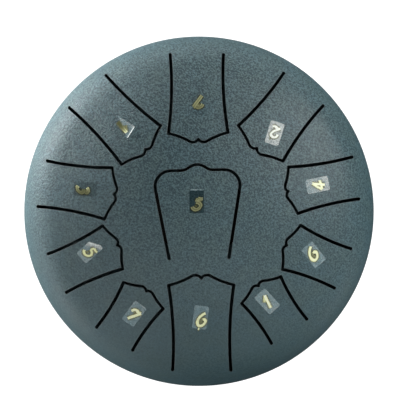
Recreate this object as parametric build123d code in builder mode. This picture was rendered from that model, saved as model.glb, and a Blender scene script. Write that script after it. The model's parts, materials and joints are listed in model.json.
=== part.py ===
from build123d import *
from math import asin, cos, degrees, hypot, radians, sin, sqrt
import os

# Steel tongue drum: two pressed steel bowls welded rim to rim, eleven tongues cut in the upper
# one, a clear numbered sticker on each tongue, and four rubber feet screwed to the base.
# Lengths are millimetres and angles degrees. The drum's axis is Z, it stands on Z = 0, and the
# player sits at -Y.

# Shells
drum_diameter = 254
sheet = 2.0  # steel thickness
crown_radius = 260  # wide curve over the top
knuckle_radius = 40  # tighter curve round the shoulder
base_radius = 70  # flat round of the underside
rim_height = 4.0  # straight wall of each bowl beside the seam
weld_rise = 0.5  # how far the bead stands out of the wall
weld_groove_share = 0.6  # of the sheet, bevelled off each rim for the weld
overrun = 10.0  # how far each cut runs past what it cuts

# Tongues
slot_width = 2.1  # along the sides
tip_slot_share = 0.85  # of that width, round the tip
slot_end_share = 1.12  # of that width, the round ends of each slot
flex_gap = 0.1  # parting line across each root, where the tongue bends
rim_margin = 14.7  # plain dome outside the circle of roots
centre_web = 5.4  # plain dome between the centre tongue's root and the longest tip

# Outline of a ring tongue, in shares of half its root width
waist_share = 0.965  # half width, halfway along
tip_share = 1.10  # half width at the tip's corners
bulge_share = 0.34  # how far the tip stands beyond its corners
lobe_share = 0.2  # from the middle to the top of each lobe
notch_share = 0.11  # depth of the notch between the lobes
lobe_angle = 30  # of each lobe's arc beyond its top

# Ring tongues by note: azimuth of the root, lean of the tongue away from the radius, and turn
# of the root's line away from square
ring_angles = {
    "low_6": (-89.0, -0.6, -1.0),
    "low_7": (90.8, 0.2, -1.2),
    "1": (132.9, 1.9, -3.7),
    "2": (49.4, 2.1, -1.1),
    "3": (170.0, 1.5, -3.3),
    "4": (12.0, -0.8, -2.2),
    "5": (-156.4, 1.3, 0.8),
    "6": (-21.7, -0.7, -0.4),
    "7": (-123.5, -0.1, 1.0),
    "high_1": (-53.1, -2.7, 0.2),
}

# Shares of the root circle's radius for the root's radius and width, and of the band between
# the root circle and the longest tip for the length
ring_root_shares = {
    "low_6": 1.005,
    "low_7": 0.991,
    "1": 1.038,
    "2": 1.016,
    "3": 1.005,
    "4": 1.012,
    "5": 0.976,
    "6": 0.976,
    "7": 0.964,
    "high_1": 0.946,
}
ring_width_shares = {
    "low_6": 0.369,
    "low_7": 0.337,
    "1": 0.311,
    "2": 0.324,
    "3": 0.295,
    "4": 0.269,
    "5": 0.269,
    "6": 0.270,
    "7": 0.270,
    "high_1": 0.270,
}
ring_length_shares = {
    "low_6": 1.000,
    "low_7": 0.923,
    "1": 0.895,
    "2": 0.824,
    "3": 0.790,
    "4": 0.751,
    "5": 0.722,
    "6": 0.662,
    "7": 0.625,
    "high_1": 0.601,
}

# Centre tongue, rooted on the player's side, in shares of the root circle's radius
centre_length_share = 0.579
centre_root_width_share = 0.372
centre_tip_width_share = 0.565  # across the corners, before they are rounded
centre_corner_share = 0.098
centre_crown_height_share = 0.0347  # the swell in the middle of the tip
centre_crown_width_share = 0.208
centre_angles = (-90, 1.2, 0)  # as in the ring

# Stickers
sticker_length = 16.4
sticker_width = 10.1
sticker_corner = 0.8
film = 0.15
glue = 0.05

# Place of each sticker: share of the tongue's length from its root and share of half its root
# width off its middle
sticker_shares = {
    "low_5": (0.605, 0.04),
    "low_6": (0.561, 0.03),
    "low_7": (0.567, 0.05),
    "1": (0.586, -0.04),
    "2": (0.677, 0.18),
    "3": (0.584, 0.04),
    "4": (0.549, -0.02),
    "5": (0.573, 0.31),
    "6": (0.516, -0.07),
    "7": (0.536, -0.12),
    "high_1": (0.652, 0.07),
}

# Turn of each sticker away from its tongue's middle line
sticker_angles = {
    "low_5": -1.2,
    "low_6": -8.0,
    "low_7": -3.0,
    "1": 13.2,
    "2": 20.7,
    "3": 5.5,
    "4": 0.8,
    "5": 17.1,
    "6": -29.6,
    "7": -2.4,
    "high_1": 8.8,
}

# Feet and their fasteners
foot_height = 9.0
foot_diameter = 20.0
foot_taper_angle = 8.0
foot_edge_radius = 1.0
foot_recess_diameter = 10.6
foot_recess_depth = 4.6
foot_edge_margin = 6.0  # from the foot to the edge of the flat base
hole_land = 9.0  # from the foot to the edge of the sound hole
screw_diameter = 4.0
screw_clearance = 0.2  # all round the screw, in the foot, the base and the washer
screw_head_diameter = 7.6
screw_head_height = 2.4
screw_head_rounding = 1.0
screw_drive_length = 4.2
screw_drive_width = 0.9
screw_drive_depth = 1.4
screw_tail = 1.2  # beyond the nut
washer_diameter = 9.6
washer_thickness = 0.8
nut_across_flats = 7.0
nut_height = 3.2
thread_clearance = 0.05

foot_angles = {"back_right": 45, "back_left": 135, "front_left": 225, "front_right": 315}

# Places that follow from the sizes
drum_radius = drum_diameter / 2
weld_groove = weld_groove_share * sheet
base_corner_radius = drum_radius - base_radius
lower_wall_z = foot_height + base_corner_radius
seam_z = lower_wall_z + rim_height
knuckle_z = seam_z + rim_height
knuckle_reach = drum_radius - knuckle_radius
crown_angle = degrees(asin(knuckle_reach / (crown_radius - knuckle_radius)))
crown_z = knuckle_z - sqrt((crown_radius - knuckle_radius) ** 2 - knuckle_reach**2)
drum_height = crown_z + crown_radius
cut_height = drum_height + overrun

root_circle = drum_radius - rim_margin
centre_length = centre_length_share * root_circle
centre_root_width = centre_root_width_share * root_circle
centre_tip_width = centre_tip_width_share * root_circle
centre_corner_radius = centre_corner_share * root_circle
centre_crown_height = centre_crown_height_share * root_circle
centre_crown_width = centre_crown_width_share * root_circle
centre_root = centre_length / 2
tip_circle = hypot(centre_root, centre_root_width / 2) + centre_web
tongue_band = root_circle - tip_circle
slot_end_diameter = slot_end_share * slot_width
tip_slot = tip_slot_share * slot_width
side_spread = slot_width - tip_slot  # how much wider the slot is along the sides

foot_circle = base_radius - foot_edge_margin - foot_diameter / 2
sound_hole_radius = foot_circle - foot_diameter / 2 - hole_land
screw_hole_diameter = screw_diameter + 2 * screw_clearance
washer_z = foot_recess_depth - washer_thickness
screw_length = foot_height + sheet + nut_height + screw_tail - washer_z


def export(piece, label):
    piece.label = label
    export_step(piece, f"parts/{label}.step")


def tongue_plane(root_radius, azimuth, lean):
    """Plane at a tongue's root on the floor: X towards the tip, Z up."""
    root = Vector(root_radius, 0, 0).rotate(Axis.Z, azimuth)
    towards_tip = Vector(-1, 0, 0).rotate(Axis.Z, azimuth + lean)
    return Plane(origin=root, x_dir=towards_tip, z_dir=(0, 0, 1))


def ring_outline(length, width):
    """Outline of a ring tongue: hollow sides, and a tip with two lobes and a notch."""
    half = width / 2
    corner = Vector(length - bulge_share * half, tip_share * half)
    lobe_side = lobe_share * half
    notch = notch_share * half
    lobe_radius = (lobe_side**2 + notch**2) / (2 * notch)
    lobe_drop = lobe_radius * (1 - cos(radians(lobe_angle)))
    lobe_end = lobe_side + lobe_radius * sin(radians(lobe_angle))
    with BuildSketch() as outline:
        with BuildLine():
            side = ThreePointArc((0, half), (corner.X / 2, waist_share * half), corner)
            tail = Line(side @ 0 - (side % 0) * overrun, side @ 0)
            lobe = ThreePointArc((length - notch, 0), (length, lobe_side), (length - lobe_drop, lobe_end))
            TangentArc(lobe @ 1, corner, tangent=lobe % 1)
            mirror(about=Plane.XZ)
            Line(tail @ 0, ((tail @ 0).X, -(tail @ 0).Y))
        make_face()
    return outline.sketch


def centre_outline(spread):
    """Outline of the centre tongue, that much wider: flared sides, round corners, a swelling tip."""
    root_half = (centre_root_width + spread) / 2
    tip_half = (centre_tip_width + spread) / 2
    crown_half = centre_crown_width / 2
    shoulder = centre_length - centre_crown_height
    flare = (tip_half - root_half) / shoulder
    with BuildSketch() as outline:
        with BuildLine():
            side = FilletPolyline(
                (-overrun, root_half - flare * overrun),
                (shoulder, tip_half),
                (shoulder, crown_half),
                radius=centre_corner_radius,
            )
            rise = TangentArc(
                (shoulder, crown_half),
                (shoulder + centre_crown_height / 2, crown_half / 2),
                tangent=(0, -1),
            )
            TangentArc(rise @ 1, (centre_length, 0), tangent=rise % 1)
            mirror(about=Plane.XZ)
            Line(side @ 0, ((side @ 0).X, -(side @ 0).Y))
        make_face()
    return outline.sketch


# Every tongue: its plane, the turn of its root, its root width and its length
azimuth, lean, root_turn = centre_angles
centre_plane = tongue_plane(centre_root, azimuth, lean)
tongues = {"low_5": (centre_plane, root_turn, centre_root_width, centre_length)}
for note, (azimuth, lean, root_turn) in ring_angles.items():
    root_width = ring_width_shares[note] * root_circle
    length = ring_length_shares[note] * tongue_band
    plane = tongue_plane(ring_root_shares[note] * root_circle, azimuth, lean)
    tongues[note] = (plane, root_turn, root_width, length)

# Both edges of every slot: the window in the dome, and the tongue in it
windows = {"low_5": centre_outline(side_spread)}
blades = {"low_5": centre_outline(-side_spread)}
for note in ring_angles:
    plane, root_turn, root_width, length = tongues[note]
    windows[note] = ring_outline(length, root_width + side_spread)
    blades[note] = ring_outline(length, root_width - side_spread)

os.makedirs("parts", exist_ok=True)

# Uncut dome: crown, knuckle and straight rim, bevelled at the seam
with BuildPart() as dome:
    with BuildSketch(Plane.XZ):
        with BuildLine():
            crown = CenterArc((0, crown_z), crown_radius, 90 - crown_angle, crown_angle)
            knuckle = CenterArc((knuckle_reach, knuckle_z), knuckle_radius, 0, 90 - crown_angle)
            inner_crown = CenterArc((0, crown_z), crown_radius - sheet, 90 - crown_angle, crown_angle)
            inner_knuckle = CenterArc(knuckle.arc_center, knuckle_radius - sheet, 0, 90 - crown_angle)
            Polyline(
                knuckle @ 0,
                (drum_radius, seam_z + weld_groove),
                (drum_radius - weld_groove, seam_z),
                (drum_radius - sheet, seam_z),
                inner_knuckle @ 0,
            )
            Line(crown @ 1, inner_crown @ 1)
        make_face()
    revolve(axis=Axis.Z)

# Upper shell: the dome with a window for each tongue and its slot
with BuildPart() as upper_shell:
    add(dome.part)
    for note, (plane, root_turn, root_width, length) in tongues.items():
        with BuildSketch(plane):
            add(windows[note])
            offset(amount=tip_slot / 2, kind=Kind.ARC)
            with Locations(Rotation(0, 0, root_turn)):
                with Locations((-flex_gap / 2, 0)):
                    Rectangle(drum_radius, drum_radius, align=(Align.MAX, Align.CENTER), mode=Mode.SUBTRACT)
                with Locations((0, root_width / 2), (0, -root_width / 2)):
                    Circle(slot_end_diameter / 2)
        extrude(amount=cut_height, mode=Mode.SUBTRACT)
export(upper_shell.part, "upper_shell")

# Tongues: what each slot leaves of the dome
for note, (plane, root_turn, root_width, length) in tongues.items():
    with BuildPart() as tongue:
        add(dome.part)
        with BuildSketch(plane):
            add(blades[note])
            offset(amount=-tip_slot / 2, kind=Kind.ARC)
            with Locations(Rotation(0, 0, root_turn)):
                with Locations((flex_gap / 2, 0)):
                    Rectangle(drum_radius, drum_radius, align=(Align.MAX, Align.CENTER), mode=Mode.SUBTRACT)
                with Locations((0, root_width / 2), (0, -root_width / 2)):
                    Circle(slot_end_diameter / 2, mode=Mode.SUBTRACT)
        extrude(amount=cut_height, mode=Mode.INTERSECT)
    export(tongue.part, f"tongue_{note}")

# Film that lies on the crown, over its whole width
with BuildPart() as film_cap:
    with BuildSketch(Plane.XZ):
        with BuildLine():
            under = CenterArc((0, crown_z), crown_radius + glue, 90 - crown_angle, crown_angle)
            over = CenterArc((0, crown_z), crown_radius + glue + film, 90 - crown_angle, crown_angle)
            Line(under @ 0, over @ 0)
            Line(under @ 1, over @ 1)
        make_face()
    revolve(axis=Axis.Z)

# Stickers: one rectangle of that film on each tongue
for note, (along_share, across_share) in sticker_shares.items():
    plane, root_turn, root_width, length = tongues[note]
    middle = plane.from_local_coords(Vector(along_share * length, across_share * root_width / 2))
    upward = plane.x_dir.rotate(Axis.Z, sticker_angles[note])
    with BuildPart() as sticker:
        add(film_cap.part)
        with BuildSketch(Plane(origin=middle, x_dir=upward, z_dir=(0, 0, 1))):
            RectangleRounded(sticker_length, sticker_width, sticker_corner)
        extrude(amount=cut_height, mode=Mode.INTERSECT)
    export(sticker.part, f"sticker_{note}")

# Lower shell: flat base with the sound hole and the screw holes, and a round side up to the seam
with BuildPart() as lower_shell:
    with BuildSketch(Plane.XZ):
        with BuildLine():
            corner = CenterArc((base_radius, lower_wall_z), base_corner_radius, -90, 90)
            inner_corner = CenterArc((base_radius, lower_wall_z), base_corner_radius - sheet, -90, 90)
            Polyline(
                corner @ 0,
                (sound_hole_radius, foot_height),
                (sound_hole_radius, foot_height + sheet),
                inner_corner @ 0,
            )
            Polyline(
                corner @ 1,
                (drum_radius, seam_z - weld_groove),
                (drum_radius - weld_groove, seam_z),
                (drum_radius - sheet, seam_z),
                inner_corner @ 1,
            )
        make_face()
    revolve(axis=Axis.Z)
    with BuildSketch():
        with PolarLocations(foot_circle, len(foot_angles), start_angle=foot_angles["back_right"]):
            Circle(screw_hole_diameter / 2)
    extrude(amount=foot_height + sheet + overrun, mode=Mode.SUBTRACT)
export(lower_shell.part, "lower_shell")

# Weld bead in the groove between the two rims
with BuildPart() as seam_weld:
    with BuildSketch(Plane.XZ):
        with BuildLine():
            groove = Polyline(
                (drum_radius, seam_z + weld_groove),
                (drum_radius - weld_groove, seam_z),
                (drum_radius, seam_z - weld_groove),
            )
            ThreePointArc(groove @ 0, (drum_radius + weld_rise, seam_z), groove @ 1)
        make_face()
    revolve(axis=Axis.Z)
export(seam_weld.part, "seam_weld")

# Rubber feet: tapered blocks with a recess underneath for the screw's head
for place, angle in foot_angles.items():
    middle = Vector(foot_circle, 0, 0).rotate(Axis.Z, angle)
    with BuildPart() as foot:
        with BuildSketch(Plane(origin=middle + Vector(0, 0, foot_height), z_dir=(0, 0, -1))):
            Circle(foot_diameter / 2)
        extrude(amount=foot_height, taper=foot_taper_angle)
        fillet(foot.edges().group_by(Axis.Z)[0], radius=foot_edge_radius)
        with Locations(Plane(origin=middle, z_dir=(0, 0, -1))):
            CounterBoreHole(screw_hole_diameter / 2, foot_recess_diameter / 2, foot_recess_depth)
    export(foot.part, f"foot_{place}")

# Washers at the top of each recess
with BuildPart() as foot_washers:
    with BuildSketch(Plane.XY.offset(washer_z)):
        with PolarLocations(foot_circle, len(foot_angles), start_angle=foot_angles["back_right"]):
            Circle(washer_diameter / 2)
            Circle(screw_hole_diameter / 2, mode=Mode.SUBTRACT)
    extrude(amount=washer_thickness)
export(foot_washers.part, "foot_washers")

# Pan head screws, driven from below
with BuildPart() as foot_screws:
    with BuildSketch(Plane.XY.offset(washer_z - screw_head_height)):
        with PolarLocations(foot_circle, len(foot_angles), start_angle=foot_angles["back_right"]):
            Circle(screw_head_diameter / 2)
    extrude(amount=screw_head_height)
    fillet(foot_screws.edges().group_by(Axis.Z)[0], radius=screw_head_rounding)
    with BuildSketch(Plane.XY.offset(washer_z)):
        with PolarLocations(foot_circle, len(foot_angles), start_angle=foot_angles["back_right"]):
            Circle(screw_diameter / 2)
    extrude(amount=screw_length)
    with BuildSketch(Plane.XY.offset(washer_z - screw_head_height)):
        with PolarLocations(foot_circle, len(foot_angles), start_angle=foot_angles["back_right"]):
            Rectangle(screw_drive_length, screw_drive_width)
            Rectangle(screw_drive_width, screw_drive_length)
    extrude(amount=screw_drive_depth, mode=Mode.SUBTRACT)
export(foot_screws.part, "foot_screws")

# Nuts on the inside of the base
with BuildPart() as foot_nuts:
    with BuildSketch(Plane.XY.offset(foot_height + sheet)):
        with PolarLocations(foot_circle, len(foot_angles), start_angle=foot_angles["back_right"]):
            RegularPolygon(nut_across_flats / 2, 6, major_radius=False)
            Circle(screw_diameter / 2 + thread_clearance, mode=Mode.SUBTRACT)
    extrude(amount=nut_height)
export(foot_nuts.part, "foot_nuts")
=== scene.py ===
import bmesh
import bpy
import json
from math import asin, cos, hypot, pi, radians, sin, sqrt
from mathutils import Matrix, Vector
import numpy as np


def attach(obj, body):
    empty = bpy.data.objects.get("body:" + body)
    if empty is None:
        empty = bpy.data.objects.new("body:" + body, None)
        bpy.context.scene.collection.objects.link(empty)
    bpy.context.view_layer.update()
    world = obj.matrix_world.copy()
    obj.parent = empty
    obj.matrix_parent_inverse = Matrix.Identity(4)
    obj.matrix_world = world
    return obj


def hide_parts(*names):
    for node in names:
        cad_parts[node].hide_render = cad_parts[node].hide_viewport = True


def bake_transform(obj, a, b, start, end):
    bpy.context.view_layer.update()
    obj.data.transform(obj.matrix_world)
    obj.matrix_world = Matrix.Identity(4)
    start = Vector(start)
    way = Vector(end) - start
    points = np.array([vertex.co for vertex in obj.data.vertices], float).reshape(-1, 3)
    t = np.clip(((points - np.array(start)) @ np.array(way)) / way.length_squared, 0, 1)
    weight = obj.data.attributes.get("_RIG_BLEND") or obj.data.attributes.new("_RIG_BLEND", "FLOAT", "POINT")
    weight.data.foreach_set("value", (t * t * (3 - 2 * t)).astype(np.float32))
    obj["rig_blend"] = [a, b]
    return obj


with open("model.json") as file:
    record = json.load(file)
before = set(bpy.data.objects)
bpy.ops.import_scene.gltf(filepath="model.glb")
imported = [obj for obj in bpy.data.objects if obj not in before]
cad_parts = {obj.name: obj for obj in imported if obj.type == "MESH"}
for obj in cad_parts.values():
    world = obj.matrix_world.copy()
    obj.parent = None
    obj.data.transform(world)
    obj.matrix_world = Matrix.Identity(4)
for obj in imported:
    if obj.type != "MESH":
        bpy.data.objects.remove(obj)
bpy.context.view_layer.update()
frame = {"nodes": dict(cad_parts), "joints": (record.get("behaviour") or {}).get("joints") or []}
scene = bpy.context.scene
mm = 0.001
print("frame loaded")

# The dome's outer skin, as the solids have it: a wide crown inside a tighter knuckle
dome = {"crownRadius": 0.260, "knuckleRadius": 0.040, "knuckleReach": 0.087, "knuckleZ": 0.074}
crownReach = dome["crownRadius"] - dome["knuckleRadius"]
crownZ = dome["knuckleZ"] - sqrt(crownReach**2 - dome["knuckleReach"] ** 2)
crownEdge = dome["knuckleReach"] / crownReach  # sine of the slope where the curves meet


def skinLift(point):  # height above the outer skin, along its normal
    r = hypot(point.x, point.y)
    if r < crownEdge * hypot(r, point.z - crownZ):
        return hypot(r, point.z - crownZ) - dome["crownRadius"]
    return hypot(r - dome["knuckleReach"], point.z - dome["knuckleZ"]) - dome["knuckleRadius"]


def skinPoint(x, y, lift):  # the point over x and y at that height above the skin
    r = hypot(x, y)
    crown = dome["crownRadius"] + lift
    if r < crownEdge * crown:
        return Vector((x, y, crownZ + sqrt(crown**2 - r**2)))
    knuckle = dome["knuckleRadius"] + lift
    return Vector((x, y, dome["knuckleZ"] + sqrt(knuckle**2 - (r - dome["knuckleReach"]) ** 2)))


def skinNormal(point):
    r = hypot(point.x, point.y)
    if r < crownEdge * hypot(r, point.z - crownZ):
        return Vector((point.x, point.y, point.z - crownZ)).normalized()
    inward = 1 - dome["knuckleReach"] / r
    return Vector((point.x * inward, point.y * inward, point.z - dome["knuckleZ"])).normalized()


class Field:  # one output of a node, with arithmetic
    def __init__(self, tree, socket=None):
        self.tree = tree
        self.socket = socket

    def node(self, kind, inputs=(), output=0, **settings):
        made = self.tree.nodes.new(kind)
        for name, value in settings.items():
            setattr(made, name, value)
        for name, value in dict(inputs).items():
            if isinstance(value, Field):
                self.tree.links.new(value.socket, made.inputs[name])
            else:
                made.inputs[name].default_value = value
        return Field(self.tree, made.outputs[output] if made.outputs else None)

    def maths(self, operation, first, second):
        return self.node("ShaderNodeMath", {0: first, 1: second}, operation=operation)

    def __add__(self, other):
        return self.maths("ADD", self, other)

    def __radd__(self, other):
        return self.maths("ADD", other, self)

    def __sub__(self, other):
        return self.maths("SUBTRACT", self, other)

    def __rsub__(self, other):
        return self.maths("SUBTRACT", other, self)

    def __mul__(self, other):
        return self.maths("MULTIPLY", self, other)

    def __rmul__(self, other):
        return self.maths("MULTIPLY", other, self)

    def attribute(self, name):  # a number that the mesh keeps at each vertex
        return self.node("ShaderNodeAttribute", output="Fac", attribute_name=name)

    def noise(self, place, scale, detail=2.0, roughness=0.5):
        inputs = {"Vector": place, "Scale": scale, "Detail": detail, "Roughness": roughness}
        return self.node("ShaderNodeTexNoise", inputs)

    def blend(self, first, second):  # colours, by this field
        return self.node("ShaderNodeMix", {0: self, 6: first, 7: second}, 2, data_type="RGBA")

    def ramp(self, start, end, low=0.0, high=1.0, shape="LINEAR"):  # low up to start, high from end
        inputs = {"Value": self, "From Min": start, "From Max": end, "To Min": low, "To Max": high}
        return self.node("ShaderNodeMapRange", inputs, interpolation_type=shape)


def newMaterial(name):
    material = bpy.data.materials.new(name)
    material.use_nodes = True
    material.node_tree.nodes.clear()
    field = Field(material.node_tree)
    return material, field, field.node("ShaderNodeTexCoord", output="Object")


def surface(field, inputs, height=None, depth=0.0001, strength=0.3):
    if height is not None:
        bump = {"Height": height, "Distance": depth, "Strength": strength}
        inputs = dict(inputs, Normal=field.node("ShaderNodeBump", bump))
    shader = field.node("ShaderNodeBsdfPrincipled", inputs)
    field.node("ShaderNodeOutputMaterial", {"Surface": shader})


rugged = (3, 0.6)  # detail and roughness of the livelier noises

coat = {
    "dark": (0.0104, 0.037, 0.048, 1),
    "pale": (0.072, 0.142, 0.164, 1),
    "olive": (0.079, 0.138, 0.139, 1),
    # painted highlight: the pale colour along the slots' edges
    "rubbed": (0.12, 0.18, 0.19, 1),
    # painted shade: the near-black colour along the slot walls
    "burnt": (0.003, 0.004, 0.005, 1),
    "grain": 760,
    "grainContrast": 4.0,
    "grit": 1900,
    "gritContrast": 2.0,
    "mean": 0.45,  # between dark and pale
    "drift": 60,
    "driftGain": 2.4,
    "driftStart": 0.7,
    "alongY": (-0.095, 0.060, 0.2, 1.05),  # from, to and the grain's strength at both: weaker towards -Y, a painted sparkle strongest where the light falls
    "alongZ": (0.070, 0.104, 0.35, 1.0),  # and low down
    "roughness": 0.58,
    "roughnessGrit": 0.2,
    "gloss": (0.090, 0.124, 0.5, 0.0),  # the same away from the axis, ending towards the rim
    "glossRoughness": 0.38,
    "depth": 0.0012,
    "depthGrit": 0.35,
    "bump": 0.8,
}
coatMaterial, field, place = newMaterial("powderCoat")
worn = field.attribute("worn")
grain = field.noise(place, coat["grain"])
grit = field.noise(place, coat["grit"])
drift = field.noise(place, coat["drift"], *rugged)
# painted sparkle: the speckle's strength follows where the light falls, weaker towards -Y, and weaker low
# down
coarse = field.node("ShaderNodeSeparateXYZ", {0: place}, "Y").ramp(*coat["alongY"])
coarse = coarse * field.node("ShaderNodeSeparateXYZ", {0: place}, "Z").ramp(*coat["alongZ"])
speckle = grain * coat["grainContrast"] + grit * coat["gritContrast"]
speckle = (speckle - (coat["grainContrast"] + coat["gritContrast"]) / 2) * coarse
hue = (drift * coat["driftGain"] - coat["driftStart"]).blend(coat["pale"], coat["olive"])
tint = (coat["mean"] + speckle).blend(coat["dark"], hue)
# the slot edges' painted highlight (attribute 1) and painted shade (attribute -1)
tint = worn.blend(tint, coat["rubbed"])
tint = (0.0 - worn).blend(tint, coat["burnt"])
fromAxis = field.node("ShaderNodeVectorMath", {0: place, 1: (1, 1, 0)}, operation="MULTIPLY")
fromAxis = field.node("ShaderNodeVectorMath", {0: fromAxis}, "Value", operation="LENGTH")
look = {
    "Base Color": tint,
    "Roughness": coat["roughness"] + grit * coat["roughnessGrit"],
    "Coat Weight": fromAxis.ramp(*coat["gloss"], "SMOOTHSTEP"),
    "Coat Roughness": coat["glossRoughness"],
}
surface(field, look, (grain + grit * coat["depthGrit"]) * coarse, coat["depth"], coat["bump"])

# The print's colours: its tone, partly painted reflection, runs from dull through bright to cream
gold = {
    "dull": (0.063, 0.068, 0.019, 1),
    "bright": (0.88, 0.91, 0.50, 1),
    "cream": (0.86, 0.90, 0.84, 1),
    "wear": 900,
    "rub": 0.75,
    "rubWear": 0.5,
    "roughness": 0.32,
    "roughnessWear": 0.2,
    "depth": 0.00004,
}
goldMaterial, field, place = newMaterial("goldPrint")
wear = field.noise(place, gold["wear"], *rugged)
# the tone, with painted reflection in it, scaled by the print's wear
rubbed = field.attribute("tone") * (gold["rub"] + wear * gold["rubWear"])
foil = rubbed.blend(gold["dull"], gold["bright"])
foil = (rubbed - 1.0).blend(foil, gold["cream"])
look = {
    "Base Color": foil,
    "Roughness": gold["roughness"] + wear * gold["roughnessWear"],
    "Alpha": field.attribute("cover"),
}
surface(field, look, wear, gold["depth"])

film = {
    "clear": (0.006, 0.034, 0.044, 1),
    "milky": (0.60, 0.84, 0.90, 1),
    "white": (0.80, 0.86, 0.84, 1),
    "cloud": 420,
    "cloudGain": 2.0,
    "streak": 1100,
    "thin": 0.5,  # what cloud and streak lose everywhere
    "milkGain": 14.0,
    "shadeGain": 2.0,
    "whiteGain": 8.0,
    "whiteStart": 0.8,
    "least": 0.015,
    "roughness": 0.25,
    "roughnessStreak": 0.2,
}
filmMaterial, field, place = newMaterial("stickerFilm")
shade = field.attribute("shade")
cloud = field.noise(place, film["cloud"], *rugged)
streak = field.noise(place, film["streak"])
milk = field.attribute("haze") * (cloud * film["cloudGain"] + streak - film["thin"])
veil = (milk * film["milkGain"] - shade * film["shadeGain"]).blend(film["clear"], film["milky"])
# strong haze turns the film white: the milky film itself, and the painted highlight along its edges
veil = (milk * film["whiteGain"] - film["whiteStart"]).blend(veil, film["white"])
look = {
    "Base Color": veil,
    "Roughness": film["roughness"] + streak * film["roughnessStreak"],
    "Alpha": film["least"] + milk + shade,
}
surface(field, look, cloud)

rubber = {
    "dark": (0.012, 0.012, 0.013, 1),
    "pale": (0.03, 0.03, 0.032, 1),
    "grit": 1200,
    "roughness": 0.7,
    "roughnessGrit": 0.2,
}
rubberMaterial, field, place = newMaterial("rubber")
grit = field.noise(place, rubber["grit"], *rugged)
look = {
    "Base Color": grit.blend(rubber["dark"], rubber["pale"]),
    "Roughness": rubber["roughness"] + grit * rubber["roughnessGrit"],
}
surface(field, look, grit)

zinc = {
    "nodes": ("foot_washers", "foot_screws", "foot_nuts"),
    "dark": (0.50, 0.51, 0.52, 1),
    "pale": (0.72, 0.72, 0.69, 1),
    "cloud": 700,
    "roughness": 0.22,
    "roughnessCloud": 0.25,
    "depth": 0.00005,
    "bump": 0.2,
}
zincMaterial, field, place = newMaterial("zincPlate")
cloud = field.noise(place, zinc["cloud"], *rugged)
look = {
    "Base Color": cloud.blend(zinc["dark"], zinc["pale"]),
    "Roughness": zinc["roughness"] + cloud * zinc["roughnessCloud"],
    "Metallic": 1.0,
}
surface(field, look, cloud, zinc["depth"], zinc["bump"])

for name, node in frame["nodes"].items():
    material = coatMaterial
    if "foot" in name:
        material = zincMaterial if name in zinc["nodes"] else rubberMaterial
    node.data.materials.clear()
    node.data.materials.append(material)
print("materials made")


def newPiece(name, bm, material, nodes, sharp=40):
    mesh = bpy.data.meshes.new(name)
    bmesh.ops.recalc_face_normals(bm, faces=bm.faces)
    bm.to_mesh(mesh)
    bm.free()
    mesh.polygons.foreach_set("use_smooth", [True] * len(mesh.polygons))
    mesh.set_sharp_from_angle(angle=radians(sharp))
    mesh.materials.append(material)
    piece = bpy.data.objects.new(name, mesh)
    scene.collection.objects.link(piece)
    if nodes:
        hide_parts(*nodes)
    return piece


roots = {}  # each tongue's root, and its direction from there
for joint in frame["joints"]:
    sideways = Vector(joint["axis"])
    roots[joint["child"]] = (Vector(joint["pos_m"]), Vector((sideways.y, -sideways.x, 0)))

slot = {
    "exact": 0.000002,  # how near the skin a vertex is on it
    "reach": 0.0002,  # the same for a face of the solids
    "facing": 0.6,  # cosine to the skin's normal
    "root": 0.00007,  # a little more than half of a parting line
    "span": 0.0225,  # half of the widest root
    "clear": 0.00045,  # left plain inside the rim's join
    "cell": 0.004,
    "cut": 0.0000001,
    "flat": 0.01,
    "merge": 0.000003,
    "coarseMerge": 0.00002,
}
# Strips along the slots, in millimetres: each one's inner reach, how far its outer edge drops, and
# that edge's painted light, from -1 for painted shade along the slot wall to 1 for a pale painted highlight
slotEdge = [(0.05, 0.18, -1), (0.16, 0.05, -1), (0.24, 0.0, -1), (0.40, 0.0, 1)]
rim = {
    "sheet": 0.002,
    "join": 0.1225,
    "segments": 360,
    "radius": 0.127,
    "seam": 0.070,
    "groove": 0.0012,
    "rings": 8,
}
rimProfile = []  # from the sheet's edge round the rim, and back to its underside
for radius, order in ((dome["knuckleRadius"], 1), (dome["knuckleRadius"] - rim["sheet"], -1)):
    lean = asin((rim["join"] - dome["knuckleReach"]) / radius)
    for i in range(1, rim["rings"] + 1) if order > 0 else range(rim["rings"], -1, -1):
        turn = lean + (pi / 2 - lean) * i / rim["rings"]
        reach, z = radius * sin(turn), radius * cos(turn)
        rimProfile.append((dome["knuckleReach"] + reach, dome["knuckleZ"] + z))
rimProfile[rim["rings"] : rim["rings"]] = [
    (rim["radius"], rim["seam"] + rim["groove"]),
    (rim["radius"] - rim["groove"], rim["seam"]),
    (rim["radius"] - rim["sheet"], rim["seam"]),
]


def smoothSkin(mesh):  # the outer skin takes the true curve's normals
    true = {}
    for v in mesh.vertices:
        if v.co.z > dome["knuckleZ"] and abs(skinLift(v.co)) < slot["exact"]:
            true[v.index] = skinNormal(v.co)
    normals = [Vector(corner.vector) for corner in mesh.corner_normals]
    for face in mesh.polygons:
        flat = all(i in true for i in face.vertices)
        for loop, i in zip(face.loop_indices, face.vertices):
            if i in true and (flat or normals[loop].dot(true[i]) > slot["facing"]):
                normals[loop] = true[i]
    mesh.normals_split_custom_set([tuple(normal) for normal in normals])


def atRoot(point, margin):
    for root, ahead in roots.values():
        step = Vector((point.x - root.x, point.y - root.y, 0))
        if abs(step.dot(ahead)) < slot["root"] + margin and abs(step.cross(ahead).z) < slot["span"]:
            return True
    return False


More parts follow.
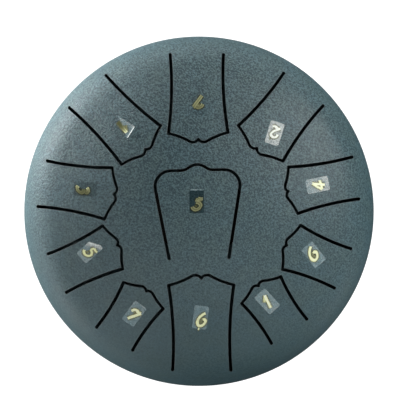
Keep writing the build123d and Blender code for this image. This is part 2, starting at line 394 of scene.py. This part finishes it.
def flatOutline(node):  # the edges where a node's outer skin ends at a slot, laid flat
    bm = bmesh.new()
    bm.from_mesh(frame["nodes"][node].data)
    bmesh.ops.remove_doubles(bm, verts=bm.verts, dist=slot["coarseMerge"])
    skin = set()
    for face in bm.faces:
        middle = face.calc_center_median()
        if middle.z > dome["knuckleZ"] and abs(skinLift(middle)) < slot["reach"]:
            if face.normal.dot(skinNormal(middle)) > slot["facing"]:
                skin.add(face)
    spare = []
    for edge in bm.edges:
        if len(skin.intersection(edge.link_faces)) != 1 or edge.verts[0].co.xy.length > rim["join"]:
            spare.append(edge)
    bmesh.ops.delete(bm, geom=bm.faces[:], context="FACES_ONLY")
    bmesh.ops.delete(bm, geom=spare, context="EDGES")
    bmesh.ops.delete(bm, geom=[v for v in bm.verts if not v.link_edges], context="VERTS")
    for v in bm.verts:
        v.co.z = 0
    return bm


def domeSheet(node):  # the flat sheet inside a node's outline, with the strips along its slots
    bm = flatOutline(node)
    if node == "upper_shell":
        bmesh.ops.create_circle(bm, radius=rim["join"], segments=rim["segments"])
    bmesh.ops.triangle_fill(bm, use_beauty=True, edges=bm.edges[:], normal=(0, 0, 1))
    bmesh.ops.recalc_face_normals(bm, faces=bm.faces)
    lift = bm.verts.layers.float.new("lift")
    # the painted highlight and painted shade along the slots
    worn = bm.verts.layers.float.new("worn")
    outside = bm.faces[:]
    for part in bmesh.ops.duplicate(bm, geom=outside)["geom"]:
        if isinstance(part, bmesh.types.BMVert):
            part[lift] = -rim["sheet"]
    inset = 0
    # each strip's painted highlight (1) and painted shade (-1) go into a vertex attribute
    for reach, drop, wear in slotEdge:
        made = bmesh.ops.inset_region(bm, faces=outside, use_boundary=True, thickness=reach * mm - inset)
        kept = {v for face in outside for v in face.verts}
        for face in made["faces"]:
            for edge in face.edges:
                edge.seam = True
            for v in face.verts:
                onSlot = v.co.xy.length < rim["join"] - slot["clear"]
                if v not in kept and onSlot and not atRoot(v.co, inset):
                    v[lift] = -drop * mm
                    v[worn] = wear
        inset = reach * mm
    lines = int(rim["join"] / slot["cell"]) + 1
    for axis in (Vector((1, 0, 0)), Vector((0, 1, 0))):
        for i in range(-lines, lines):
            cut = bmesh.ops.bisect_plane(
                bm,
                geom=bm.verts[:] + bm.edges[:] + bm.faces[:],
                dist=slot["cut"],
                plane_co=axis * (i + 0.5) * slot["cell"],
                plane_no=axis,
            )
            for part in cut["geom_cut"]:
                if isinstance(part, bmesh.types.BMEdge):
                    part.seam = True
    bmesh.ops.dissolve_limit(bm, angle_limit=slot["flat"], edges=bm.edges[:], delimit={"SEAM"})
    return bm


def domePiece(node):  # that sheet curved, with its slot walls and, on the shell, its rim
    bm = domeSheet(node)
    lift = bm.verts.layers.float["lift"]
    walls, brim = [], []
    for edge in bm.edges:
        if edge.is_boundary and edge.verts[0][lift] > -rim["sheet"] / 2:
            onRim = all(v.co.xy.length > rim["join"] - slot["reach"] for v in edge.verts)
            (brim if onRim else walls).append(edge)
    for v in bm.verts:
        if v.co.xy.length > rim["join"] - slot["reach"] / 2:
            v.co.xy *= rim["join"] / v.co.xy.length
        v.co = skinPoint(v.co.x, v.co.y, v[lift])
    for part in bmesh.ops.extrude_edge_only(bm, edges=walls)["geom"]:
        if isinstance(part, bmesh.types.BMVert):
            part.co = skinPoint(part.co.x, part.co.y, -rim["sheet"])
    for reach, z in rimProfile if brim else []:
        made = bmesh.ops.extrude_edge_only(bm, edges=brim)["geom"]
        brim = [part for part in made if isinstance(part, bmesh.types.BMEdge) and part.is_boundary]
        for part in made:
            if isinstance(part, bmesh.types.BMVert):
                part.co.xy *= reach / part.co.xy.length
                part.co.z = z
    bmesh.ops.remove_doubles(bm, verts=bm.verts, dist=slot["merge"])
    bmesh.ops.triangulate(bm, faces=bm.faces[:])
    edging = [v for v in bm.verts if v.co.xy.length > rim["join"] - slot["reach"]]
    bmesh.ops.remove_doubles(bm, verts=edging, dist=slot["coarseMerge"])
    return bm


upperShell = newPiece("upperShell", domePiece("upper_shell"), coatMaterial, ["upper_shell"])
smoothSkin(upperShell.data)
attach(upperShell, "drum")
print("upper shell made")

tongue = {"gap": 0.0001, "bend": 0.3}  # closed parting line, and the share of the length that bends
for body, (root, ahead) in roots.items():
    note = body.removeprefix("note_")
    bm = domePiece(f"tongue_{note}")
    length = max((v.co - root).dot(ahead) for v in bm.verts)
    for v in bm.verts:
        if (v.co - root).dot(ahead) < slot["root"]:
            moved = v.co - ahead * tongue["gap"]
            v.co = skinPoint(moved.x, moved.y, skinLift(v.co))
    piece = newPiece(f"tongue.{note}", bm, coatMaterial, [f"tongue_{note}"])
    smoothSkin(piece.data)
    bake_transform(piece, "drum", body, start=root, end=root + ahead * length * tongue["bend"])
print("tongues made")

weld = {
    "radius": 0.127,
    "z": 0.070,
    "half": 0.0012,
    "rise": 0.0005,
    "sides": 8,
    "ripples": 420,
    "steps": 6,
    "slant": 900,
    "depth": 0.00016,
    "sharp": 60,
}
bm = bmesh.new()
profile = []
for side in range(weld["sides"] + 1):
    turn = pi * (side / weld["sides"] - 0.5)
    reach, z = weld["rise"] * cos(turn), weld["half"] * sin(turn)
    profile.append(bm.verts.new((weld["radius"] + reach, 0, weld["z"] + z)))
profile.append(bm.verts.new((weld["radius"] - weld["half"], 0, weld["z"])))  # the bottom of the groove
for low, high in zip(profile, profile[1:] + profile[:1]):
    bm.edges.new((low, high))
bmesh.ops.spin(
    bm,
    geom=bm.verts[:] + bm.edges[:],
    cent=(0, 0, 0),
    axis=(0, 0, 1),
    angle=2 * pi,
    steps=weld["ripples"] * weld["steps"],
    use_merge=True,
)
for v in bm.verts:
    out = hypot(v.co.x, v.co.y)
    proud = max(0, (out - weld["radius"]) / weld["rise"])
    turn = Vector((1, 0)).angle_signed(v.co.xy)
    ripple = 0.5 + 0.5 * cos(weld["ripples"] * turn + weld["slant"] * abs(v.co.z - weld["z"]))
    v.co.xy *= (out - weld["depth"] * proud * ripple) / out
bead = newPiece("seamWeld", bm, coatMaterial, ["seam_weld"], weld["sharp"])
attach(bead, "drum")
print("weld made")

# Middle of each sticker in millimetres, and the way up its number stands in degrees; the film's milky
# haze, how it grows to the right and upward, and more of it along the left, right, lower and upper
# edges, a painted highlight where an edge catches the light; its dark shade
stickers = {
    "low_5": {"at": (-1.6, 6.8), "up": 90, "edges": (0, 0, 0, 0.16), "shade": 0.36},
    "low_6": {"at": (1.1, -74.5), "up": 82.4, "haze": (0.10, 0, 0), "edges": (0.05, 0.03, 0.05, 0.03)},
    "low_7": {"at": (0, 75.6), "up": -92, "shade": 0.03},
    "1": {"at": (-54.6, 59.5), "up": -32, "haze": (0.12, -0.03, 0.02), "edges": (0.08, 0, 0, 0.9)},
    "2": {"at": (53.1, 54.8), "up": -107.8, "haze": (0.33, -0.02, -0.02), "edges": (0, 0.05, 0, 0)},
    "3": {"at": (-79.9, 15.6), "up": -3, "edges": (0, 0, 0, 0.02), "shade": 0.10},
    "4": {"at": (83.5, 18.5), "up": 192, "haze": (0.20, 0, -0.04), "edges": (0.05, 0, 0.03, 0)},
    "5": {"at": (-76.8, -27.7), "up": 42, "haze": (0.13, 0, -0.03), "edges": (0, 0, 0.03, 0)},
    "6": {"at": (80.7, -30.6), "up": 128, "haze": (0.115, 0.01, -0.01), "edges": (0, 0.03, 0.05, 0)},
    "7": {"at": (-45.6, -72.2), "up": 54, "haze": (0.115, 0, 0.02), "edges": (0.03, 0.03, 0.03, 0.03)},
    "high_1": {"at": (47.9, -63.4), "up": 133, "haze": (0.135, 0, 0), "edges": (0.03, 0.03, 0.06, 0.03)},
}
plainFilm = {"haze": (0, 0, 0), "edges": (0, 0, 0, 0), "shade": 0}
# Films creased along a line: clear to its right, and on its left more haze over the width of a band
creases = {
    "1": {"start": (-4.8, -5.7), "end": (5.1, 8.2), "band": 1.0, "more": 0},
    "5": {"start": (5.0, 9.7), "end": (-3.8, 4.6), "band": 3.4, "more": 0.6},
}
lifted = {"1": (0.45, 1.6)}  # films whose upper edge stands off the tongue: how far, and over what length
filmShape = {
    "length": 16.4,
    "width": 10.1,
    "corner": 0.8,
    "glue": 0.05,
    "top": 0.14,
    "cells": (14, 24),
    "edge": 0.99,  # share of the half size from which a vertex is on an edge
    "fold": 0.7,  # the most that a crease adds of its haze
}


def onSticker(note, across, along, lift):  # millimetres on a sticker to a place on the drum
    sticker = stickers[note]
    turn = radians(sticker["up"])
    x = sticker["at"][0] + along * cos(turn) + across * sin(turn)
    y = sticker["at"][1] + along * sin(turn) - across * cos(turn)
    height, span = lifted.get(note, (0, 1))
    edge = max(0, 1 - (filmShape["length"] / 2 - along) / span)
    return skinPoint(x * mm, y * mm, (lift + height * edge**2) * mm)


def creaseHaze(crease, across, along, haze):
    start, end = Vector(crease["start"]), Vector(crease["end"])
    ahead = (end - start).normalized()
    away = ahead.x * (along - start.y) - ahead.y * (across - start.x)
    folded = min(filmShape["fold"], max(0, 1 - away / crease["band"]))
    return haze + crease["more"] * folded if away > 0 else 0


for note in stickers:
    sticker = plainFilm | stickers[note]
    bm = bmesh.new()
    columns, rows = filmShape["cells"]
    bmesh.ops.create_grid(bm, x_segments=columns, y_segments=rows, size=1)
    halfWidth, halfLength, corner = filmShape["width"] / 2, filmShape["length"] / 2, filmShape["corner"]
    hazeLayer = bm.verts.layers.float.new("haze")
    shadeLayer = bm.verts.layers.float.new("shade")
    base, right, upward = sticker["haze"]
    edge = filmShape["edge"]
    for v in bm.verts:
        along = halfLength * v.co.y
        into = max(0, abs(along) - (halfLength - corner))
        across = v.co.x * (halfWidth - corner + sqrt(corner**2 - into**2))
        sides = (v.co.x < -edge, v.co.x > edge, v.co.y < -edge, v.co.y > edge)
        haze = max(0, base + right * v.co.x + upward * v.co.y)
        # painted highlight along the film's edges
        haze += max(more * side for more, side in zip(sticker["edges"], sides))
        if note in creases:
            haze = creaseHaze(creases[note], across, along, haze)
        v[hazeLayer] = haze
        v[shadeLayer] = sticker["shade"]
        v.co = onSticker(note, across, along, filmShape["glue"])
    skin = bmesh.ops.extrude_face_region(bm, geom=bm.faces[:])
    for v in skin["geom"]:
        if isinstance(v, bmesh.types.BMVert):
            v.co += skinNormal(v.co) * (filmShape["top"] - filmShape["glue"]) * mm
    piece = newPiece(f"film.{note}", bm, filmMaterial, [f"sticker_{note}"])
    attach(piece, f"note_{note}")
print("films made")

# Each number's digit and its place on the film; how heavy its strokes are, the tone at the start and
# the end of each one, partly painted reflection, and the share of it along the stroke's sides, painted
# shade below 1 and painted highlight above 1; the halo's tone
numbers = {
    "low_5": {
        "digit": "5", "shift": (0.8, -1.2), "weight": 1.05, "edge": 7.0, "halo": 0.03,
        "tones": [(0.05, 0.04), (0.05, 0.04), (0.05, 0.05)],
    },
    "low_6": {"digit": "6", "shift": (0.2, -0.8), "tones": [(1.4, 1.3), (1.2, 1.2)]},
    "low_7": {
        "digit": "7", "shift": (0, -0.4), "weight": 1.3, "edge": 3.5, "halo": 0.08,
        "tones": [(0.12, 0.05), (0.06, 0.11)],
    },
    "1": {"digit": "1", "shift": (0.1, 1.1), "weight": 1.3, "edge": 3.0, "tones": [(0.06, 0.1), (1.0, 0.02)]},
    "2": {"digit": "2", "weight": 0.85, "edge": 0.8, "tones": [(2.2, 2.2), (2.2, 2.2), (0, 0)]},
    "3": {
        "digit": "3", "shift": (0.6, -1.3), "weight": 1.15, "edge": 2.5, "halo": 0.05,
        "tones": [(0.45, 0.03), (0.35, 0.04)],
    },
    "4": {"digit": "4", "shift": (0, 0.2), "weight": 0.95, "tones": [(1.6, 1.6), (1.5, 1.6), (1.7, 1.7)]},
    "5": {
        "digit": "5", "shift": (1.0, 0.1), "weight": 0.9, "edge": 0.55,
        "tones": [(1.0, 1.0), (0.9, 1.1), (1.1, 1.0)],
    },
    "6": {"digit": "6", "shift": (-1.0, 1.6), "weight": 0.95, "tones": [(1.4, 1.5)]},
    "7": {"digit": "7", "weight": 1.1, "tones": [(1.5, 1.5), (1.4, 1.5)]},
    "high_1": {"digit": "1", "shift": (0.2, 0.1), "weight": 1.1, "tones": [(0.5, 0.9), (2.0, 1.7)]},
}
plainNumber = {"shift": (0, 0), "weight": 1, "edge": 0.6, "halo": 0.2}
# Strokes of each digit, in millimetres from its middle, for a broad pen
strokes = {
    "1": [[(-2.1, 0.7), (-0.6, 2.2), (1.5, 4.2)], [(1.5, 4.3), (0.2, 0.2), (-1.5, -5.2)]],
    "2": [
        [
            (-2.3, 0.2), (-2.0, 1.9), (-0.2, 3.0), (1.7, 2.4),
            (2.2, 0.9), (1.1, -1.1), (-1.2, -2.9), (-2.9, -4.3),
        ],
        [(-2.9, -4.2), (-1.2, -3.8), (1.2, -4.7), (2.7, -4.2)],
    ],
    "3": [
        [(-1.6, 2.5), (-0.2, 3.4), (1.6, 2.9), (1.7, 1.4), (-0.3, 0.3)],
        [(-2.5, -4.0), (-1.4, -4.6), (0.5, -4.0), (1.9, -2.1), (1.6, -0.4), (-0.3, 0.3)],
    ],
    "4": [
        [(1.7, 3.4), (-1.2, 0.3), (-3.5, -2.8)],
        [(-3.5, -2.8), (0, -2.6), (3.0, -2.2)],
        [(1.8, 3.4), (0.7, 0), (-1.0, -5.3)],
    ],
    "5": [
        [(0.2, 3.3), (-0.6, 2.0), (-1.1, 0.9)],
        [(-1.1, 0.9), (0.9, 0.2), (1.9, -1.6), (0.8, -3.6), (-1.4, -4.5), (-3.3, -3.7), (-3.9, -2.5)],
        [(0.2, 3.3), (1.6, 2.9), (3.5, 3.0)],
    ],
    "6": [
        [
            (2.9, 4.2), (1.2, 3.0), (-0.6, 1.2), (-1.7, -1.0), (-1.9, -3.1), (-1.2, -4.8), (0.2, -5.3),
            (2.0, -4.5), (3.2, -2.8), (3.4, -1.2), (2.5, -0.3), (1.4, -0.7),
        ]
    ],
    "7": [
        [(-2.6, 0.6), (-1.8, 2.2), (0, 3.0), (1.8, 2.6), (3.8, 3.0)],
        [(3.8, 3.0), (1.7, -0.1), (-1.9, -5.4)],
    ],
}
hollows = {  # where the halo fills in between the strokes
    "5": [[(-2.2, -1.8), (-0.4, -2.2)], [(0.8, 1.6), (2.6, 1.6)]],
    "6": [[(1.0, 0.6), (0.4, -1.6), (0.9, -3.4)]],
    "7": [[(-0.8, 0.8), (1.4, 1.2)]],
}
dots = {"low_6": (-0.5, -7.6), "2": (1.9, 4.2)}  # a full stop under one number and a fleck on another
pen = {"nib": 2.8, "angle": 40, "thin": 1.7, "bold": 2.2, "dot": 0.5, "steps": 9, "depth": 0.04, "fade": 4}
layers = {  # the olive-brown halo round the strokes, then the strokes themselves
    "halo": {"spread": 2.4, "lift": 0.145, "climb": 0.003, "cover": (0.85, 0)},
    "ink": {"spread": 0, "lift": 0.165, "climb": 0.012, "cover": (1, 1)},
}


def curve(points, steps):  # a smooth line through the points
    ends = [points[0]] + points + [points[-1]]
    line = []
    for i in range(len(points) - 1):
        a, b, c, d = (Vector(p) for p in ends[i : i + 4])
        for step in range(steps):
            t = step / steps
            square, cube = (2 * a - 5 * b + 4 * c - d) * t**2, (3 * b - a - 3 * c + d) * t**3
            line.append(0.5 * (2 * b + (c - a) * t + square + cube))
    return line + [Vector(points[-1])]


nib = Vector((cos(radians(pen["angle"])), sin(radians(pen["angle"])))) * pen["nib"]
for note in numbers:
    number = plainNumber | numbers[note]
    bm = bmesh.new()
    toneLayer = bm.verts.layers.float.new("tone")
    coverLayer = bm.verts.layers.float.new("cover")
    lines = [curve(points, pen["steps"]) for points in strokes[number["digit"]]]
    if note in dots:
        spot, half = Vector(dots[note]), Vector((pen["dot"], 0))
        lines.append([spot - half, spot, spot + half])
    pools = [curve(points, pen["steps"]) for points in hollows.get(number["digit"], [])]
    for name, layer in layers.items():
        for order, line in enumerate(lines + pools if name == "halo" else lines):
            start, end = (number["tones"] + [(0, 0)] * len(pools))[order]
            last = len(line) - 1
            grid = bmesh.ops.create_grid(bm, x_segments=2, y_segments=last, size=1)
            for v in grid["verts"]:
                side, i = round(v.co.x), round((v.co.y + 1) / 2 * last)
                ahead = (line[min(i + 1, last)] - line[max(i - 1, 0)]).normalized()
                sideways = Vector((-ahead.y, ahead.x))
                width = min(max(abs(nib.dot(sideways)), pen["thin"]), pen["bold"])
                width = width * number["weight"] + layer["spread"]
                spot = line[i] + sideways * side * width / 2 + Vector(number["shift"])
                tone = end + (start - end) * (1 - i / last) ** pen["fade"]
                # painted shade along the stroke's sides where edge is below 1, painted highlight where it is
                # above
                tone *= number["edge"] if side else 1
                v[toneLayer] = number["halo"] if name == "halo" else tone
                v[coverLayer] = layer["cover"][abs(side)]
                v.co = onSticker(note, spot.x, spot.y, layer["lift"] + layer["climb"] * (order + i / last))
    below = bmesh.ops.extrude_face_region(bm, geom=bm.faces[:])
    for v in below["geom"]:
        if isinstance(v, bmesh.types.BMVert):
            v.co -= skinNormal(v.co) * pen["depth"] * mm
    piece = newPiece(f"number.{note}", bm, goldMaterial, [])
    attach(piece, f"note_{note}")
print("numbers made")

floor = {
    "size": 6.0,
    "cells": 8,
    "pale": ((0.26, 0.26, 0.26, 1), (0.24, 0.24, 0.24, 1)),
    "dark": (0.01, 0.01, 0.01, 1),  # painted shadow under the drum: near-black, and without glow
    "darkEdge": (0.085, 0.127),
    "speck": 300,
    "roughness": 0.9,
    "glow": 1.0,
}
floorMaterial, field, place = newMaterial("paleFloor")
fromAxis = field.node("ShaderNodeVectorMath", {0: place}, "Value", operation="LENGTH")
# painted shadow: the floor is dark and gives no glow under the drum, fading out towards its edge
clear = fromAxis.ramp(*floor["darkEdge"], shape="SMOOTHSTEP")
pale = field.noise(place, floor["speck"]).blend(*floor["pale"])
look = {
    "Base Color": clear.blend(floor["dark"], pale),
    "Roughness": floor["roughness"],
    "Specular IOR Level": 0.0,
    "Emission Color": clear.blend((0, 0, 0, 1), (1, 1, 1, 1)),
    "Emission Strength": floor["glow"],
}
surface(field, look)
bm = bmesh.new()
bmesh.ops.create_grid(bm, x_segments=floor["cells"], y_segments=floor["cells"], size=floor["size"])
floorMesh = bpy.data.meshes.new("floor")
bm.to_mesh(floorMesh)
bm.free()
floorMesh.materials.append(floorMaterial)
floorObject = bpy.data.objects.new("floor", floorMesh)
scene.collection.objects.link(floorObject)
floorObject.visible_diffuse = False
floorObject.visible_glossy = False

# Soft boxes in rings round the drum: reach, height and size, then each one's bearing and power
rings = {
    "low": {"reach": 0.42, "z": 0.045, "size": (0.22, 0.07)},
    "middle": {"reach": 0.883, "z": 0.559, "size": (0.5, 0.4)},
    "steep": {"reach": 0.764, "z": 0.881, "size": (0.35, 0.35)},
    "sheen": {"reach": 0.692, "z": 0.945, "size": (0.3, 0.3)},
    "high": {"reach": 0.657, "z": 1.326, "size": (0.6, 0.6)},
}
powers = {
    "low": {60: 0.29, 90: 0.40, 120: 0.40, 150: 2.93, 180: 0.34, 210: 0.59, 240: 0.13, 330: 0.27},
    "middle": {0: 0.33, 30: 5.21, 60: 1.10, 210: 0.34, 240: 1.13, 300: 0.58, 330: 0.34},
    "steep": {210: 0.41},
    "sheen": {15: 1.31, 45: 0.64},
    "high": {60: 1.59, 180: 1.06, 240: 1.44, 300: 1.49},
}
aim = Vector((0, 0, 0.09))
for name, ring in rings.items():
    for bearing, power in powers[name].items():
        lamp = bpy.data.lights.new(f"{name}{bearing}", "AREA")
        lamp.shape = "RECTANGLE"
        lamp.size, lamp.size_y = ring["size"]
        lamp.energy = power
        lampObject = bpy.data.objects.new(lamp.name, lamp)
        turn = radians(bearing)
        lampObject.location = (ring["reach"] * cos(turn), ring["reach"] * sin(turn), ring["z"])
        lampObject.rotation_euler = (aim - lampObject.location).to_track_quat("-Z", "Y").to_euler()
        lampObject.visible_camera = False
        scene.collection.objects.link(lampObject)

sky = (0.96, 0.98, 1.0, 1)
world = bpy.data.worlds.new("studio")
world.use_nodes = True
scene.world = world
world.node_tree.nodes["Background"].inputs["Color"].default_value = sky
world.cycles_visibility.diffuse = False
world.cycles_visibility.glossy = False
scene.view_settings.view_transform = "Standard"

view = {"height": 1.4, "lens": 164.01, "sensor": 36, "shift": (0.0025, 0.0281)}
camera = bpy.data.cameras.new("camera")
camera.lens = view["lens"]
camera.sensor_width = view["sensor"]
camera.shift_x, camera.shift_y = view["shift"]
cameraObject = bpy.data.objects.new("camera", camera)
cameraObject.location = (0, 0, view["height"])
scene.collection.objects.link(cameraObject)
scene.camera = cameraObject
print("studio made")
